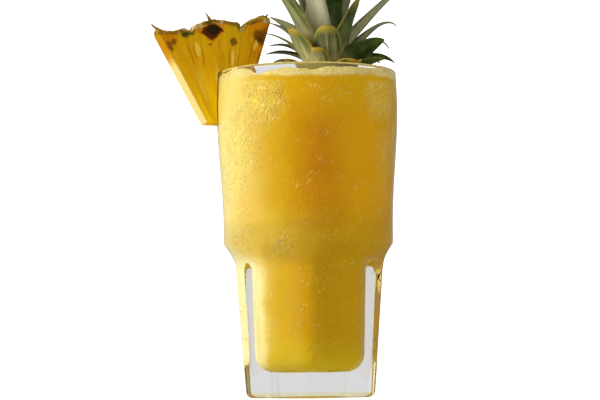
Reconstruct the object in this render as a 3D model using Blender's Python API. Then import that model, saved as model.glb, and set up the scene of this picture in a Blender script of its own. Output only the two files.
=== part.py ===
"""A pineapple smoothie in a six-panel tumbler, with a wedge of pineapple on the rim and a crown in the drink.

Metres, +Z up. The origin is the centre of the tumbler's flat underside, and -Y is the front.
"""

import math

import bmesh
import bpy
from mathutils import Matrix, Vector, noise

MM = 0.001
GAP = 0.3 * MM

# Tumbler: a round upper body, a shoulder, and a lower body with six flat panels between round pillars.
GLASS_HEIGHT = 150 * MM
GLASS_SEGMENTS = 54
FOOT_FILLET = 3.0 * MM
LOWER_RADIUS_FOOT = 32.4 * MM
LOWER_RADIUS_TOP = 36.3 * MM
SHOULDER_LOW = 56 * MM
SHOULDER_HIGH = 73 * MM
WAIST_RADIUS = 39.2 * MM
BELLY_LOW = 78 * MM
BELLY_HIGH = 134 * MM
BELLY_RADIUS = 42.0 * MM
MOUTH_RADIUS = 41.5 * MM
LIP_RADIUS = 1.2 * MM
WALL = 2.5 * MM

PANELS = 6
PILLAR_ANGLE = math.radians(1.0)
PANEL_HALF_FOOT = math.radians(25.4)
PANEL_HALF_TOP = math.radians(23.0)
ARCH_LOW = 61 * MM
ARCH_HIGH = 70 * MM

# The hollow inside the tumbler. Its lower part is narrow, in glass that is thick all round, and it follows
# the panels.
BASE_THICKNESS = 12.5 * MM
HOLLOW_CORNER = 8.0 * MM
HOLLOW_RADIUS_LOW = 22.0 * MM
HOLLOW_RADIUS_HIGH = 22.6 * MM
HOLLOW_SHOULDER_LOW = 59 * MM
HOLLOW_SHOULDER_HIGH = 82 * MM

# Drink and froth. The froth climbs the wall in a ragged ring, with dips and rises in it.
FROTH_FLOOR = 142.5 * MM
FROTH_LEVEL = 144.6 * MM
FROTH_SEGMENTS = 48
FROTH_RINGS = 10
FROTH_BUMP = 0.55 * MM
CLIMB_LEVEL = 147.6 * MM
CLIMB_WIDTH = 5.0 * MM
# Each dip: the angle of its middle, its depth, which is less than 0 for a rise, and half its angle.
CLIMB_DIPS = (
    (math.radians(5), 1.2 * MM, math.radians(8)),
    (math.radians(-31), 2.4 * MM, math.radians(8)),
    (math.radians(-52), -1.7 * MM, math.radians(14)),
    (math.radians(58), -1.2 * MM, math.radians(24)),
    (math.radians(-90), 1.5 * MM, math.radians(10)),
)

# Pineapple wedge: an eighth of a slice, slit to sit on the left of the rim, turned a little to face right.
WEDGE_TURN = math.radians(14)
WEDGE_LEAN = math.radians(1.1)
WEDGE_THICKNESS = 13 * MM
WEDGE_APEX = (-37.6 * MM, -0.4 * MM, 107.3 * MM)
WEDGE_LEFT = math.radians(-29.4)
WEDGE_RIGHT = math.radians(15.6)
WEDGE_TIP_CUT = 19.0 * MM
RIND_RADIUS = 66.2 * MM
RIND_STEPS = 44
RIND_ROWS = 6
# Each eye of the rind: its angle, how far it bulges, and its half width as an angle.
RIND_EYES = (
    (math.radians(-28.8), 4.4 * MM, math.radians(3.2)),
    (math.radians(-6.9), 1.8 * MM, math.radians(5.0)),
    (math.radians(13.8), 6.6 * MM, math.radians(6.0)),
)
RIND_NOTCHES = (math.radians(-17.0), math.radians(4.8))
NOTCH_DEPTH = 2.8 * MM
NOTCH_WIDTH = math.radians(1.3)
# Each spine on the rind: its angle, its lean from the radius, its length, its place through the thickness.
SPINES = (
    (math.radians(-28.4), math.radians(-30), 4.6 * MM, 2.0 * MM),
    (math.radians(-7.6), math.radians(-16), 4.8 * MM, 2.0 * MM),
    (math.radians(14.2), math.radians(14), 2.2 * MM, 1.0 * MM),
)

# Crown: a short stem with leaves grown all round it.
CROWN_X = 9.0 * MM
CROWN_Y = 5.0 * MM
CROWN_LEAN = math.radians(1.1)
# The stem's outline, as radius and height in millimetres.
STEM_PROFILE = (
    (0, 134),
    (10.5, 134),
    (14.4, 139),
    (14.9, 149),
    (12.8, 154),
    (8.0, 160),
    (4.5, 166),
    (0, 170),
)
STEM_SEGMENTS = 20
LEAF_THICKNESS = 1.12 * MM
LEAF_STATIONS = 6
STEPS_A_STATION = 6
FRONT_COLUMNS = 4
RING_COLUMNS = 2
LEAF_CHANNEL = 0.16
# Leaves that the front shows: direction (-90 faces the front), root height, length, width, first and last
# slope, how late they curl, how blunt they end (0 is a point), and how far they roll about their length.
FRONT_LEAVES = (
    (180, 156, 20, 10, 32, -14, 1.0, 0.0, -20),
    (170, 156.5, 21, 9, 54, -12, 1.0, 0.0, -20),
    (-170, 155, 23.5, 7, 62, 8, 1.0, 0.0, -20),
    (-134, 152, 22, 16, 54, 46, 1.0, 0.7, -15),
    (-140, 158, 62, 16, 56, 40, 1.0, 0.0, -10),
    (163, 160, 29, 12, 52, 26, 1.0, 0.0, -35),
    (150, 160, 26, 10, 62, 50, 1.0, 0.0, -25),
    (148, 162, 56, 11, 60, 48, 1.0, 0.0, 0),
    (-118, 160, 72, 17, 68, 60, 1.0, 0.0, 0),
    (-80, 161, 74, 16, 84, 78, 1.0, 0.0, 0),
    (30, 162, 66, 13, 76, 64, 1.0, 0.0, 0),
    (-46, 157, 30, 18, 68, 60, 1.0, 0.2, 15),
    (18, 160, 60, 10, 52, 38, 1.0, 0.0, 25),
    (3, 158, 32, 9, 44, -66, 6.0, 0.0, 30),
    (-20, 154, 21, 16, 44, 14, 1.5, 0.1, -45),
    (2, 153, 23, 8, 42, -40, 1.3, 0.0, -35),
    (14, 157, 27, 6, 46, -70, 2.5, 0.0, 0),
    (-90, 154, 19, 15, 48, 72, 1.0, 0.7, 0),
    (-108, 150.5, 12, 13, 50, 60, 1.0, 0.7, 0),
    (-56, 149, 13, 15, 28, 18, 1.0, 0.6, 0),
    (-14, 150.5, 17, 9, 36, 6, 1.0, 0.3, -20),
    (-150, 149.5, 12, 9, 38, 22, 1.0, 0.6, 0),
)
# Leaves behind and inside, in rings: count, first direction, step, root height, length, width, slopes.
LEAF_RINGS = (
    (4, 40, 34, 151, 24, 12, 48, -10),
    (3, 62, 38, 156, 36, 14, 58, 18),
    (3, 100, 62, 161, 56, 14, 70, 46),
    (5, -75, 137.5, 165, 66, 11, 84, 72),
)

GLASS_CLEAR = (0.93, 0.96, 0.95)
DRINK_YELLOW = (0.93, 0.66, 0.07)
FROTH_CREAM = (0.95, 0.84, 0.50)
FLESH_YELLOW = (0.90, 0.58, 0.06)
LEAF_GREEN = (0.21, 0.29, 0.11)


def clear_scene():
    for obj in list(bpy.data.objects):
        bpy.data.objects.remove(obj, do_unlink=True)


def ease(value, low, high):
    """0 below low and 1 above high, with a smooth rise between them."""
    t = min(1.0, max(0.0, (value - low) / (high - low)))
    return t * t * (3 - 2 * t)


def material(name, colour, roughness, transmission=0.0):
    made = bpy.data.materials.new(name)
    made.use_nodes = True
    shader = made.node_tree.nodes["Principled BSDF"]
    shader.inputs["Base Color"].default_value = (*colour, 1)
    shader.inputs["Roughness"].default_value = roughness
    shader.inputs["Metallic"].default_value = 0
    shader.inputs["Transmission Weight"].default_value = transmission
    return made


def add_object(name, mesh_data, finish=None):
    """A new object from a bmesh, with its material."""
    mesh = bpy.data.meshes.new(name)
    mesh_data.to_mesh(mesh)
    mesh_data.free()
    obj = bpy.data.objects.new(name, mesh)
    bpy.context.scene.collection.objects.link(obj)
    if finish:
        mesh.materials.append(finish)
    return obj


def as_helper(obj):
    obj.hide_render = True
    obj.display_type = "WIRE"
    return obj


def apply_modifiers(obj):
    """Replaces the object's mesh by the one its modifiers make."""
    bpy.context.view_layer.update()
    graph = bpy.context.evaluated_depsgraph_get()
    mesh = bpy.data.meshes.new_from_object(obj.evaluated_get(graph))
    obj.modifiers.clear()
    obj.data = mesh


def cut_with(obj, cutter):
    cut = obj.modifiers.new("cut", "BOOLEAN")
    cut.operation = "DIFFERENCE"
    cut.solver = "EXACT"
    cut.object = cutter


def turned(profile, segments, first_angle=0.0):
    """A closed solid turned round Z from (radius, height) points that start and end on the axis."""
    made = bmesh.new()
    start = Matrix.Rotation(first_angle, 3, "Z") @ Vector((0, -1, 0))
    points = [made.verts.new(start * radius + Vector((0, 0, height))) for radius, height in profile]
    edges = [made.edges.new(pair) for pair in zip(points, points[1:])]
    turned_up = points + edges
    bmesh.ops.spin(
        made, geom=turned_up, axis=(0, 0, 1), cent=(0, 0, 0), angle=math.tau, steps=segments, use_merge=True
    )
    bmesh.ops.remove_doubles(made, verts=made.verts, dist=0.001 * MM)
    bmesh.ops.recalc_face_normals(made, faces=made.faces)
    return made


def outer_radius(z):
    """Radius of the tumbler's round outside, which its pillars keep, at height z."""
    lower = LOWER_RADIUS_FOOT + (LOWER_RADIUS_TOP - LOWER_RADIUS_FOOT) * min(z / SHOULDER_LOW, 1)
    if z < FOOT_FILLET:
        lower -= FOOT_FILLET - math.sqrt(FOOT_FILLET**2 - (FOOT_FILLET - z) ** 2)
    radius = lower + (WAIST_RADIUS - LOWER_RADIUS_TOP) * ease(z, SHOULDER_LOW, SHOULDER_HIGH)
    radius += (BELLY_RADIUS - WAIST_RADIUS) * ease(z, BELLY_LOW, BELLY_HIGH)
    return radius - (BELLY_RADIUS - MOUTH_RADIUS) * ease(z, BELLY_HIGH, GLASS_HEIGHT)


def hollow_radius(z):
    """Radius of the tumbler's hollow at height z."""
    waist = outer_radius(HOLLOW_SHOULDER_HIGH) - WALL
    low = HOLLOW_RADIUS_LOW + (HOLLOW_RADIUS_HIGH - HOLLOW_RADIUS_LOW) * min(z / SHOULDER_LOW, 1)
    if z < BASE_THICKNESS + HOLLOW_CORNER:
        rise = max(0.0, BASE_THICKNESS + HOLLOW_CORNER - z)
        low -= HOLLOW_CORNER - math.sqrt(max(0.0, HOLLOW_CORNER**2 - rise**2))
    if z < HOLLOW_SHOULDER_HIGH:
        return low + (waist - HOLLOW_RADIUS_HIGH) * ease(z, HOLLOW_SHOULDER_LOW, HOLLOW_SHOULDER_HIGH)
    return outer_radius(z) - WALL


def panel_share(angle, z):
    """What share of the round radius is kept at this angle: 1 on a pillar, less on a flat panel."""
    half = PANEL_HALF_FOOT + (PANEL_HALF_TOP - PANEL_HALF_FOOT) * min(z / ARCH_LOW, 1)
    arch = min(1.0, max(0.0, (z - ARCH_LOW) / (ARCH_HIGH - ARCH_LOW)))
    half *= math.sqrt(1 - arch * arch)
    pitch = math.tau / PANELS
    from_centre = (angle - PILLAR_ANGLE) % pitch - pitch / 2
    if abs(from_centre) >= half:
        return 1.0
    return math.cos(half) / math.cos(from_centre)


def steps_between(low, high, count):
    return [low + (high - low) * i / count for i in range(count + 1)]


def corner_heights(low, size, count):
    """Heights up a rounded corner, spaced evenly by angle."""
    return [low + size * (1 - math.cos(math.pi / 2 * i / count)) for i in range(count + 1)]


def press_panels(made):
    """Presses the panels into a shape that was turned in the tumbler's steps."""
    for vert in made.verts:
        if vert.co.z < ARCH_HIGH:
            share = panel_share(math.atan2(vert.co.x, -vert.co.y), vert.co.z)
            vert.co.x *= share
            vert.co.y *= share


def glass():
    outside = corner_heights(0, FOOT_FILLET, 3)
    outside += steps_between(12 * MM, ARCH_LOW, 4)
    outside += steps_between(ARCH_LOW, ARCH_HIGH, 6)[1:]
    outside += [SHOULDER_HIGH]
    outside += steps_between(BELLY_LOW, BELLY_HIGH, 6)
    lip_low = GLASS_HEIGHT - LIP_RADIUS
    outside += [141 * MM, lip_low]
    inside = [lip_low, 134 * MM, 118 * MM, 104 * MM, 90 * MM]
    inside += steps_between(HOLLOW_SHOULDER_HIGH, HOLLOW_SHOULDER_LOW, 4) + [38 * MM]
    inside += corner_heights(BASE_THICKNESS, HOLLOW_CORNER, 4)[::-1]
    profile = [(0, 0)] + [(outer_radius(z), z) for z in outside]
    lip_outer = outer_radius(lip_low)
    lip_centre = lip_outer - LIP_RADIUS
    for degrees in (45, 90, 135):
        turn = math.radians(degrees)
        reach = lip_centre + LIP_RADIUS * math.cos(turn)
        profile.append((reach, lip_low + LIP_RADIUS * math.sin(turn)))
    profile += [(hollow_radius(z), z) for z in inside]
    profile.append((0, BASE_THICKNESS))
    made = turned(profile, GLASS_SEGMENTS, PILLAR_ANGLE)
    press_panels(made)
    clear = material("clear_glass", GLASS_CLEAR, 0.02, 1.0)
    obj = add_object("glass", made, clear)
    obj.data.shade_smooth()
    obj.data.set_sharp_from_angle(angle=math.radians(35))
    return obj


def wedge_place():
    """From the wedge's own frame (X to its right, Y to the back, Z up, origin at its apex) to the world."""
    turn = Matrix.Rotation(WEDGE_TURN, 4, "Z") @ Matrix.Rotation(WEDGE_LEAN, 4, "Y")
    return Matrix.Translation(WEDGE_APEX) @ turn


def rind_radius(angle, depth):
    """Radius of the rind at an angle from straight up, and at a place through the wedge's thickness."""
    radius = RIND_RADIUS
    across = math.cos(math.pi * depth / (2.4 * WEDGE_THICKNESS)) ** 2
    for middle, bulge, width in RIND_EYES:
        radius += bulge * across * math.exp(-(((angle - middle) / width) ** 2))
    for middle in RIND_NOTCHES:
        radius -= NOTCH_DEPTH * math.exp(-(((angle - middle) / NOTCH_WIDTH) ** 2))
    return radius + 0.5 * MM * noise.noise(Vector((angle * 30, depth / (3 * MM), 4.0)))


def sector(grow, relief):
    """The wedge's block without its slit, larger by grow on its flat sides."""
    made = bmesh.new()
    lift = grow / math.sin((WEDGE_RIGHT - WEDGE_LEFT) / 2)
    middle = (WEDGE_LEFT + WEDGE_RIGHT) / 2
    apex = Vector((-math.sin(middle), 0, -math.cos(middle))) * lift
    half = WEDGE_THICKNESS / 2 + grow
    angles = steps_between(WEDGE_LEFT, WEDGE_RIGHT, RIND_STEPS)
    rows = []
    for depth in steps_between(-half, half, RIND_ROWS):
        row = []
        for angle in angles:
            radius = rind_radius(angle, depth) if relief else RIND_RADIUS
            point = apex + Vector((math.sin(angle), 0, math.cos(angle))) * radius
            row.append(made.verts.new(point + Vector((0, depth, 0))))
        rows.append(row)
    for near, far in zip(rows, rows[1:]):
        for i in range(RIND_STEPS):
            made.faces.new((near[i], near[i + 1], far[i + 1], far[i]))
    tip = WEDGE_TIP_CUT - grow
    feet = []
    for depth in (-half, half):
        foot = []
        for side in (WEDGE_LEFT, WEDGE_RIGHT):
            corner = apex + Vector((math.tan(side) * (tip - apex.z), depth, tip - apex.z))
            foot.append(made.verts.new(corner))
        feet.append(foot)
    made.faces.new(rows[0] + [feet[0][1], feet[0][0]])
    made.faces.new(rows[-1][::-1] + [feet[1][0], feet[1][1]])
    made.faces.new([feet[0][0], feet[0][1], feet[1][1], feet[1][0]])
    made.faces.new([row[0] for row in rows] + [feet[1][0], feet[0][0]])
    made.faces.new([row[-1] for row in rows][::-1] + [feet[0][1], feet[1][1]])
    bmesh.ops.recalc_face_normals(made, faces=made.faces)
    bmesh.ops.transform(made, matrix=wedge_place(), verts=made.verts)
    return made


def spine(angle, lean, length, depth):
    """One spine of the rind, a thin curved cone."""
    made = bmesh.new()
    bmesh.ops.create_cone(
        made, cap_ends=True, segments=5, radius1=1.5 * MM, radius2=0.25 * MM, depth=length + 3 * MM
    )
    bmesh.ops.translate(made, verts=made.verts, vec=(0, 0, length / 2 - 1.5 * MM))
    foot = Vector((math.sin(angle), 0, math.cos(angle))) * (rind_radius(angle, -depth) - 0.5 * MM)
    turn = Matrix.Rotation(angle + lean, 4, "Y")
    place = Matrix.Translation(foot + Vector((0, -depth, 0))) @ turn
    bmesh.ops.transform(made, matrix=wedge_place() @ place, verts=made.verts)
    return made


def wall_cutter():
    """The tumbler's wall near the rim, a little thicker on every side, which is the wedge's slit."""
    heights = steps_between(100 * MM, GLASS_HEIGHT - LIP_RADIUS, 5)
    outside = [(outer_radius(z) + GAP, z) for z in heights]
    inside = [(hollow_radius(z) - GAP, z) for z in heights[::-1]]
    centre = outside[-1][0] - LIP_RADIUS - GAP
    top = []
    for degrees in (45, 90, 135):
        turn = math.radians(degrees)
        reach = LIP_RADIUS + GAP
        top.append((centre + reach * math.cos(turn), heights[-1] + reach * math.sin(turn)))
    ring = outside + top + inside
    made = bmesh.new()
    points = [made.verts.new((0, -radius, height)) for radius, height in ring]
    edges = [made.edges.new((points[i - 1], points[i])) for i in range(len(points))]
    bmesh.ops.spin(
        made, geom=points + edges, axis=(0, 0, 1), cent=(0, 0, 0), angle=math.tau, steps=96, use_merge=True
    )
    bmesh.ops.remove_doubles(made, verts=made.verts, dist=0.001 * MM)
    bmesh.ops.recalc_face_normals(made, faces=made.faces)
    return as_helper(add_object("wall_cutter", made))


def join_all(obj, parts, solver):
    """Fuses the parts onto obj with one Boolean union on their collection, and removes them."""
    group = bpy.data.collections.new(obj.name + "_parts")
    bpy.context.scene.collection.children.link(group)
    for part in parts:
        bpy.context.scene.collection.objects.unlink(part)
        group.objects.link(part)
    union = obj.modifiers.new("join", "BOOLEAN")
    union.operation = "UNION"
    union.operand_type = "COLLECTION"
    union.solver = solver
    union.collection = group
    apply_modifiers(obj)
    for part in parts:
        bpy.data.objects.remove(part, do_unlink=True)
    bpy.data.collections.remove(group)


def drop_inner_shells(obj):
    """Deletes the sealed hollows that fusing leaves, which are the shells other than the largest."""
    made = bmesh.new()
    made.from_mesh(obj.data)
    left = set(made.verts)
    shells = []
    while left:
        shell = {left.pop()}
        edge_of_shell = list(shell)
        while edge_of_shell:
            vert = edge_of_shell.pop()
            for edge in vert.link_edges:
                other = edge.other_vert(vert)
                if other in left:
                    left.discard(other)
                    shell.add(other)
                    edge_of_shell.append(other)
        shells.append(shell)
    shells.sort(key=len)
    small = [vert for shell in shells[:-1] for vert in shell]
    bmesh.ops.delete(made, geom=small, context="VERTS")
    made.to_mesh(obj.data)
    made.free()


def wedge(cutter):
    flesh = material("pineapple_flesh", FLESH_YELLOW, 0.35)
    obj = add_object("pineapple_wedge", sector(0, True), flesh)
    join_all(obj, [add_object(f"spine_{i}", spine(*spec)) for i, spec in enumerate(SPINES)], "EXACT")
    cut_with(obj, cutter)
    apply_modifiers(obj)
    return obj


def crown_place():
    """From the crown's own frame, upright on the drink's axis, to the world: aside and leaning right."""
    foot = Vector((0, 0, STEM_PROFILE[0][1] * MM))
    stand = Matrix.Translation(foot + Vector((CROWN_X, CROWN_Y, 0)))
    return stand @ Matrix.Rotation(CROWN_LEAN, 4, "Y") @ Matrix.Translation(-foot)


def stem_profile(grow):
    return [(max(0.0, radius * MM + (grow if radius else 0)), height * MM) for radius, height in STEM_PROFILE]


def stem(name, grow, finish=None):
    made = turned(stem_profile(grow), STEM_SEGMENTS)
    if grow:
        for vert in made.verts:
            if vert.co.z < STEM_PROFILE[1][1] * MM + 0.01 * MM:
                vert.co.z -= grow
    bmesh.ops.transform(made, matrix=crown_place(), verts=made.verts)
    return add_object(name, made, finish)


def stem_radius(z):
    points = stem_profile(0)
    for (low_radius, low), (high_radius, high) in zip(points[1:], points[2:]):
        if low <= z <= high:
            return low_radius + (high_radius - low_radius) * (z - low) / (high - low)
    return 0.0


def leaf_width(share, blunt):
    """The leaf's width as a share of its widest, along its length: a narrow neck, a broad middle, a tip."""
    neck = 0.75 + 0.25 * math.sin(math.pi * min(share / 0.7, 0.5))
    point = (1 - share) ** 0.75 if share > 0 else 1.0
    round_end = math.sqrt(max(0.0, 1 - share**6))
    return max(0.06, neck * (point + (round_end - point) * blunt))


def leaf(name, columns, direction, root, length, width, first_slope, last_slope, lateness, blunt, roll):
    """One leaf: a channelled strip that curves in an upright plane, with both faces split alike."""
    root, length, width = root * MM, length * MM, width * MM
    made = bmesh.new()
    out = max(1.5 * MM, stem_radius(root) - 2.0 * MM)
    height = root
    rows = []
    steps = LEAF_STATIONS * STEPS_A_STATION
    for i in range(steps + 1):
        share = i / steps
        slope = math.radians(first_slope + (last_slope - first_slope) * share**lateness)
        if i % STEPS_A_STATION:
            out += length / steps * math.cos(slope)
            height += length / steps * math.sin(slope)
            continue
        wide = width * leaf_width(share, blunt) / 2
        turn = Matrix.Rotation(-slope, 3, "Y") @ Matrix.Rotation(math.radians(roll), 3, "X")
        row = []
        for j in range(columns + 1):
            side = 2 * j / columns - 1
            lift = 2 * LEAF_CHANNEL * wide * side * side
            row.append(made.verts.new(Vector((out, 0, height)) + turn @ Vector((0, wide * side, lift))))
        rows.append(row)
        out += length / steps * math.cos(slope)
        height += length / steps * math.sin(slope)
    for near, far in zip(rows, rows[1:]):
        for j in range(columns):
            made.faces.new((near[j], far[j], far[j + 1]))
            made.faces.new((near[j], far[j + 1], near[j + 1]))
    bmesh.ops.recalc_face_normals(made, faces=made.faces)
    place = crown_place() @ Matrix.Rotation(math.radians(direction), 4, "Z")
    bmesh.ops.transform(made, matrix=place, verts=made.verts)
    obj = add_object(name, made)
    solid = obj.modifiers.new("thickness", "SOLIDIFY")
    solid.thickness = LEAF_THICKNESS
    solid.offset = 0
    apply_modifiers(obj)
    return obj


def crown():
    green = material("crown_leaf", LEAF_GREEN, 0.6)
    obj = stem("crown", 0, green)
    leaves = [leaf(f"leaf_{i}", FRONT_COLUMNS, *spec) for i, spec in enumerate(FRONT_LEAVES)]
    for ring, (count, first, step, root, length, width, first_slope, last_slope) in enumerate(LEAF_RINGS):
        for i in range(count):
            long = length * (1 - 0.08 * (i % 2))
            spec = (first + step * i, root, long, width, first_slope, last_slope, 1.0, 0.0, 0)
            leaves.append(leaf(f"ring_{ring}_{i}", RING_COLUMNS, *spec))
    join_all(obj, leaves, "MANIFOLD")
    drop_inner_shells(obj)
    return obj


def drink(stem_cutter, wedge_cutter):
    heights = corner_heights(BASE_THICKNESS, HOLLOW_CORNER, 4)
    heights += [38 * MM] + steps_between(HOLLOW_SHOULDER_LOW, HOLLOW_SHOULDER_HIGH, 4)
    heights += [90 * MM, 104 * MM, 134 * MM]
    profile = [(0, BASE_THICKNESS + GAP)]
    for z in heights:
        # The panels' arches close between these heights, where two coarse shapes need more room.
        clearance = 2.5 * GAP if ARCH_LOW - 3 * MM < z < ARCH_HIGH + 1 * MM else GAP
        profile.append((hollow_radius(z) - clearance, max(z, BASE_THICKNESS + GAP)))
    top = FROTH_FLOOR - GAP
    profile += [(hollow_radius(top) - GAP, top), (0, top)]
    made = turned(profile, GLASS_SEGMENTS, PILLAR_ANGLE)
    press_panels(made)
    obj = add_object("smoothie", made, material("smoothie", DRINK_YELLOW, 0.4))
    for cutter in (stem_cutter, wedge_cutter):
        cut_with(obj, cutter)
    apply_modifiers(obj)
    return obj


def froth_top(x, y):
    """Height of the froth: level and bubbly in the middle, and climbing the wall in a ragged ring."""
    radius = math.hypot(x, y)
    angle = math.atan2(x, -y)
    crest = CLIMB_LEVEL - FROTH_LEVEL
    for middle, depth, width in CLIMB_DIPS:
        crest -= depth * math.exp(-(((angle - middle) / width) ** 2))
    reach = hollow_radius(GLASS_HEIGHT - LIP_RADIUS) - GAP
    climb = ease(radius, reach - CLIMB_WIDTH, reach)
    bump = noise.noise(Vector((x, y, 0)) / (4 * MM)) + 0.5 * noise.noise(Vector((x, y, 0)) / (2 * MM))
    return FROTH_LEVEL + crest * climb + FROTH_BUMP * bump


def froth(stem_cutter, wedge_cutter):
    reach = hollow_radius(GLASS_HEIGHT - LIP_RADIUS) - GAP
    rings = steps_between(0, reach - CLIMB_WIDTH, FROTH_RINGS - 3)
    rings += steps_between(reach - CLIMB_WIDTH, reach, 3)[1:]
    profile = [(0, FROTH_FLOOR), (reach, FROTH_FLOOR)] + [(radius, FROTH_LEVEL) for radius in rings[::-1]]
    made = turned(profile, FROTH_SEGMENTS)
    for vert in made.verts:
        if vert.co.z > FROTH_FLOOR + 1 * MM:
            vert.co.z = froth_top(vert.co.x, vert.co.y)
    bmesh.ops.triangulate(made, faces=made.faces)
    cream = material("froth", FROTH_CREAM, 0.6)
    obj = add_object("froth", made, cream)
    for cutter in (stem_cutter, wedge_cutter):
        cut_with(obj, cutter)
    apply_modifiers(obj)
    return obj


def main():
    clear_scene()
    wall = wall_cutter()
    stem_cutter = as_helper(stem("stem_cutter", GAP))
    wedge_cutter = as_helper(add_object("wedge_cutter", sector(GAP, False)))
    glass()
    wedge(wall)
    drink(stem_cutter, wedge_cutter)
    froth(stem_cutter, wedge_cutter)
    crown()
    for helper in (wall, stem_cutter, wedge_cutter):
        bpy.data.objects.remove(helper, do_unlink=True)


main()
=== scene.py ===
"""A pineapple smoothie in a panelled tumbler, with a wedge on the rim and a crown standing in the drink."""

import math
import random

import bmesh
import bpy
from mathutils import Matrix, Vector, noise


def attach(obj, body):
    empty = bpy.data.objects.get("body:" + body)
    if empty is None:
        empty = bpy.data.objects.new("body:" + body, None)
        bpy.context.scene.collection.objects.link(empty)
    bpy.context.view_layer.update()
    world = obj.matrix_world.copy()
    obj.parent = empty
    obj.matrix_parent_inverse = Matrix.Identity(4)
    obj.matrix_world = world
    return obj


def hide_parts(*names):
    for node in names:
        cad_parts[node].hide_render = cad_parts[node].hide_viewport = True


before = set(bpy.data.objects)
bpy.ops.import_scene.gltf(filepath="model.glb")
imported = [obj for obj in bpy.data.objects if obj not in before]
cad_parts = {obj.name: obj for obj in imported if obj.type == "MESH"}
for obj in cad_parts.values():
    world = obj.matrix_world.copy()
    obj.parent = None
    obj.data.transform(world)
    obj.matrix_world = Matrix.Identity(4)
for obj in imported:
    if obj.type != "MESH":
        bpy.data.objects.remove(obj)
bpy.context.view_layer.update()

# The tumbler. Thick pressed soda glass with a round mouth and belly, and below the shoulder six flat
# panels between round pillars. It is turned from one outline and the panels are then pressed in.
# It stands on its heavy base, and everything else stands or hangs in it.
MM = 0.001
TUMBLER_TALL = 150 * MM
TUMBLER_STEPS = 180
FOOT_FILLET = 3.0 * MM
PILLAR_RADIUS_FOOT = 32.4 * MM
PILLAR_RADIUS_TOP = 36.3 * MM
SHOULDER_LOW = 56 * MM
SHOULDER_HIGH = 73 * MM
WAIST_RADIUS = 39.2 * MM
BELLY_LOW = 78 * MM
BELLY_HIGH = 134 * MM
BELLY_RADIUS = 42.0 * MM
MOUTH_RADIUS = 41.5 * MM
LIP_RADIUS = 1.2 * MM
WALL = 2.5 * MM
BASE_THICKNESS = 12.5 * MM
HOLLOW_CORNER = 8.0 * MM
HOLLOW_RADIUS_LOW = 22.0 * MM
HOLLOW_RADIUS_HIGH = 22.6 * MM
HOLLOW_SHOULDER_LOW = 59 * MM
HOLLOW_SHOULDER_HIGH = 82 * MM
PANELS = 6
PILLAR_ANGLE = math.radians(1.0)
PANEL_HALF_FOOT = math.radians(25.4)
PANEL_HALF_TOP = math.radians(23.0)
ARCH_LOW = 61 * MM
ARCH_HIGH = 70 * MM
PRESSED_EDGE = 0.35 * MM
INNER_EDGE = 0.8 * MM


def ease(value, low, high):
    """0 below low and 1 above high, with a smooth rise between them."""
    t = min(1.0, max(0.0, (value - low) / (high - low)))
    return t * t * (3 - 2 * t)


def outer_radius(z):
    """Radius of the tumbler's round outside, which its pillars keep, at height z."""
    lower = PILLAR_RADIUS_FOOT + (PILLAR_RADIUS_TOP - PILLAR_RADIUS_FOOT) * min(z / SHOULDER_LOW, 1)
    if z < FOOT_FILLET:
        lower -= FOOT_FILLET - math.sqrt(FOOT_FILLET**2 - (FOOT_FILLET - z) ** 2)
    radius = lower + (WAIST_RADIUS - PILLAR_RADIUS_TOP) * ease(z, SHOULDER_LOW, SHOULDER_HIGH)
    radius += (BELLY_RADIUS - WAIST_RADIUS) * ease(z, BELLY_LOW, BELLY_HIGH)
    return radius - (BELLY_RADIUS - MOUTH_RADIUS) * ease(z, BELLY_HIGH, TUMBLER_TALL)


def hollow_radius(z):
    """Radius of the tumbler's hollow at height z."""
    waist = outer_radius(HOLLOW_SHOULDER_HIGH) - WALL
    low = HOLLOW_RADIUS_LOW + (HOLLOW_RADIUS_HIGH - HOLLOW_RADIUS_LOW) * min(z / SHOULDER_LOW, 1)
    if z < BASE_THICKNESS + HOLLOW_CORNER:
        rise = max(0.0, BASE_THICKNESS + HOLLOW_CORNER - z)
        low -= HOLLOW_CORNER - math.sqrt(max(0.0, HOLLOW_CORNER**2 - rise**2))
    if z < HOLLOW_SHOULDER_HIGH:
        return low + (waist - HOLLOW_RADIUS_HIGH) * ease(z, HOLLOW_SHOULDER_LOW, HOLLOW_SHOULDER_HIGH)
    return outer_radius(z) - WALL


def panel_half_angle(z):
    """Half the angle that a panel takes up at height z. It closes to nothing at the top of its arch."""
    half = PANEL_HALF_FOOT + (PANEL_HALF_TOP - PANEL_HALF_FOOT) * min(z / ARCH_LOW, 1)
    arch = min(1.0, max(0.0, (z - ARCH_LOW) / (ARCH_HIGH - ARCH_LOW)))
    return half * math.sqrt(1 - arch * arch)


def pressed_share(angle, z, round_radius, soft_edge):
    """How far in the panels are pressed, as a share of the round radius, with a soft edge at the pillars."""
    if z > ARCH_HIGH:
        return 1.0
    pitch = math.tau / PANELS
    from_centre = (angle - PILLAR_ANGLE) % pitch - pitch / 2
    flat_radius = round_radius * math.cos(panel_half_angle(z)) / math.cos(from_centre)
    gap = round_radius - flat_radius
    return (round_radius + flat_radius - math.sqrt(gap * gap + soft_edge**2)) / 2 / round_radius


def inner_share(angle, z):
    """The same for the hollow, which follows the panels softly."""
    return pressed_share(angle, z, hollow_radius(z), INNER_EDGE) if z > BASE_THICKNESS else 1.0


def steps_between(low, high, count):
    return [low + (high - low) * i / count for i in range(count + 1)]


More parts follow.
